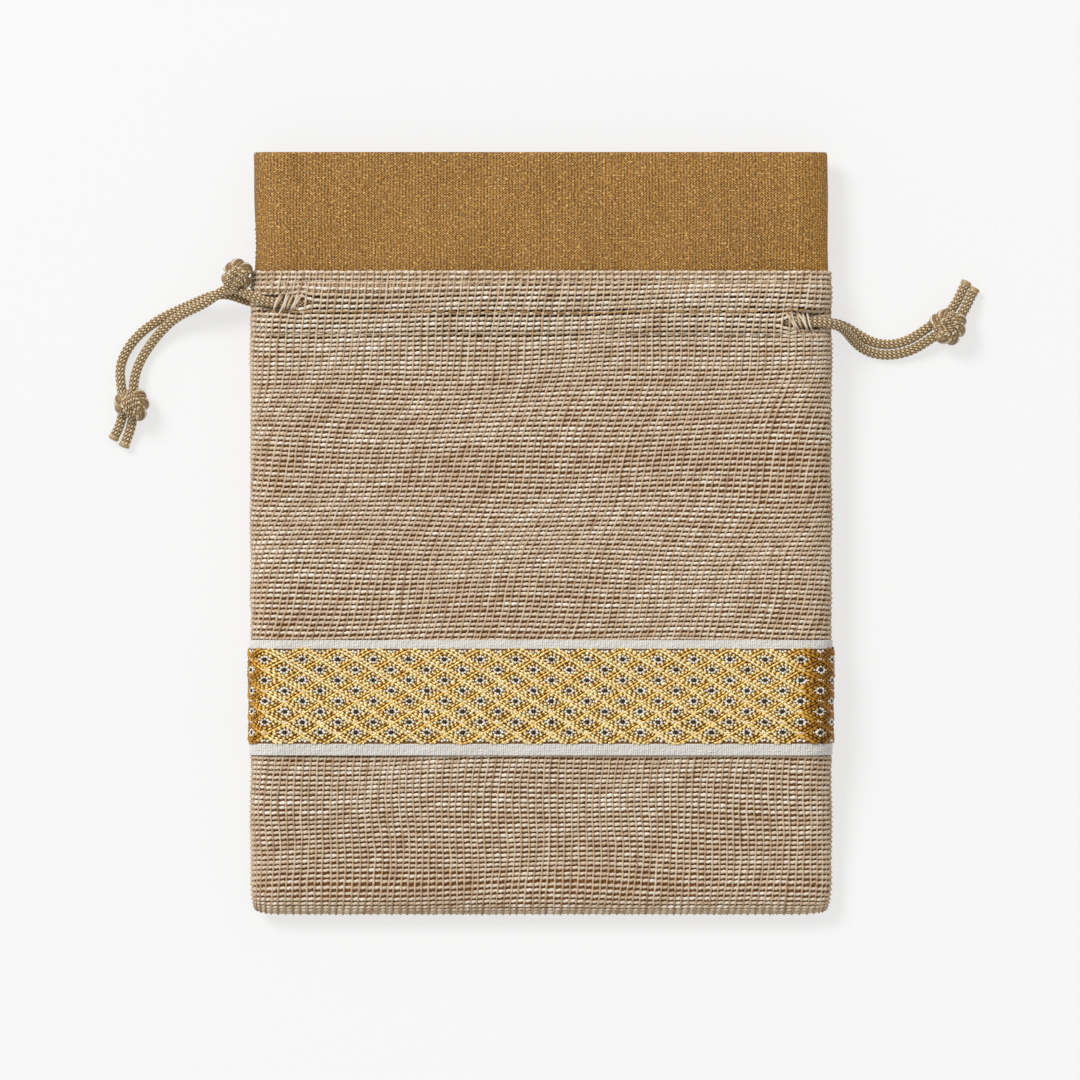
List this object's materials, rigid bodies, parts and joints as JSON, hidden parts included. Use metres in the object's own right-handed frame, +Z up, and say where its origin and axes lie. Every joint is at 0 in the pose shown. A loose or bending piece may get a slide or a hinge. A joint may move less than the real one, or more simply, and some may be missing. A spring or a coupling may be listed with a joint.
{
  "type": "drawstring gift pouch",
  "caption": "Flat jute mesh gift pouch with a gold tissue lining and mouth frill, a brocade border across the front and a double drawstring in a stitched channel.",
  "frame": {"origin": "under the middle of the pouch, on the surface that it lies on", "axes": "+X to the pouch's right, +Y from the bottom seam to the mouth, +Z up through the front"},
  "size_m": [0.2104, 0.1836, 0.0148],
  "materials": {
    "jute_mesh": "open weave, matte, slubby",
    "lining_tissue": "fine weave tissue, dull gold",
    "frill_tissue": "fine ribbed tissue with metallic glints",
    "brocade": "woven metallic yarn, satin",
    "sewing_thread": "twisted thread, matte",
    "braided_cord": "round braid, slight sheen"
  },
  "bodies": {
    "pouch": {"shell_front": "jute_mesh", "shell_back": "jute_mesh", "hem_front": "jute_mesh", "hem_back": "jute_mesh", "lining_front": "lining_tissue", "lining_back": "lining_tissue", "frill_front": "frill_tissue", "frill_back": "frill_tissue", "woven_border": "brocade", "border_stitch_upper": "sewing_thread", "border_stitch_lower": "sewing_thread", "channel_stitch_upper_front": "sewing_thread", "channel_stitch_upper_back": "sewing_thread", "channel_stitch_middle_front": "sewing_thread", "channel_stitch_middle_back": "sewing_thread", "channel_stitch_lower_front": "sewing_thread", "channel_stitch_lower_back": "sewing_thread", "side_seam_left": "sewing_thread", "frill_seam_left": "sewing_thread", "side_seam_right": "sewing_thread", "frill_seam_right": "sewing_thread", "bottom_seam": "sewing_thread"},
    "left_cord": {"left_cord_loop": "braided_cord", "left_front_strand": "braided_cord", "left_back_strand": "braided_cord", "left_inner_knot": "braided_cord", "left_outer_strand": "braided_cord", "left_inner_strand": "braided_cord", "left_outer_knot": "braided_cord", "left_tail_a": "braided_cord", "left_tail_b": "braided_cord"},
    "right_cord": {"right_cord_loop": "braided_cord", "right_front_strand": "braided_cord", "right_back_strand": "braided_cord", "right_knot": "braided_cord", "right_tail_a": "braided_cord", "right_tail_b": "braided_cord"}
  },
  "joints": [
    {"name": "left_cord_pull", "type": "slide", "parent": "pouch", "child": "left_cord", "axis": [-1, 0, 0], "range_m": [0, 0.035], "deforming": ["shell_front", "shell_back", "hem_front", "hem_back", "lining_front", "lining_back", "frill_front", "frill_back", "woven_border", "border_stitch_upper", "border_stitch_lower", "channel_stitch_upper_front", "channel_stitch_upper_back", "channel_stitch_middle_front", "channel_stitch_middle_back", "channel_stitch_lower_front", "channel_stitch_lower_back", "side_seam_left", "frill_seam_left", "side_seam_right", "frill_seam_right"]},
    {"name": "right_cord_pull", "type": "slide", "parent": "pouch", "child": "right_cord", "axis": [1, 0, 0], "range_m": [0, 0.035], "deforming": ["shell_front", "shell_back", "hem_front", "hem_back", "lining_front", "lining_back", "frill_front", "frill_back", "woven_border", "border_stitch_upper", "border_stitch_lower", "channel_stitch_upper_front", "channel_stitch_upper_back", "channel_stitch_middle_front", "channel_stitch_middle_back", "channel_stitch_lower_front", "channel_stitch_lower_back", "side_seam_left", "frill_seam_left", "side_seam_right", "frill_seam_right"]}
  ]
}
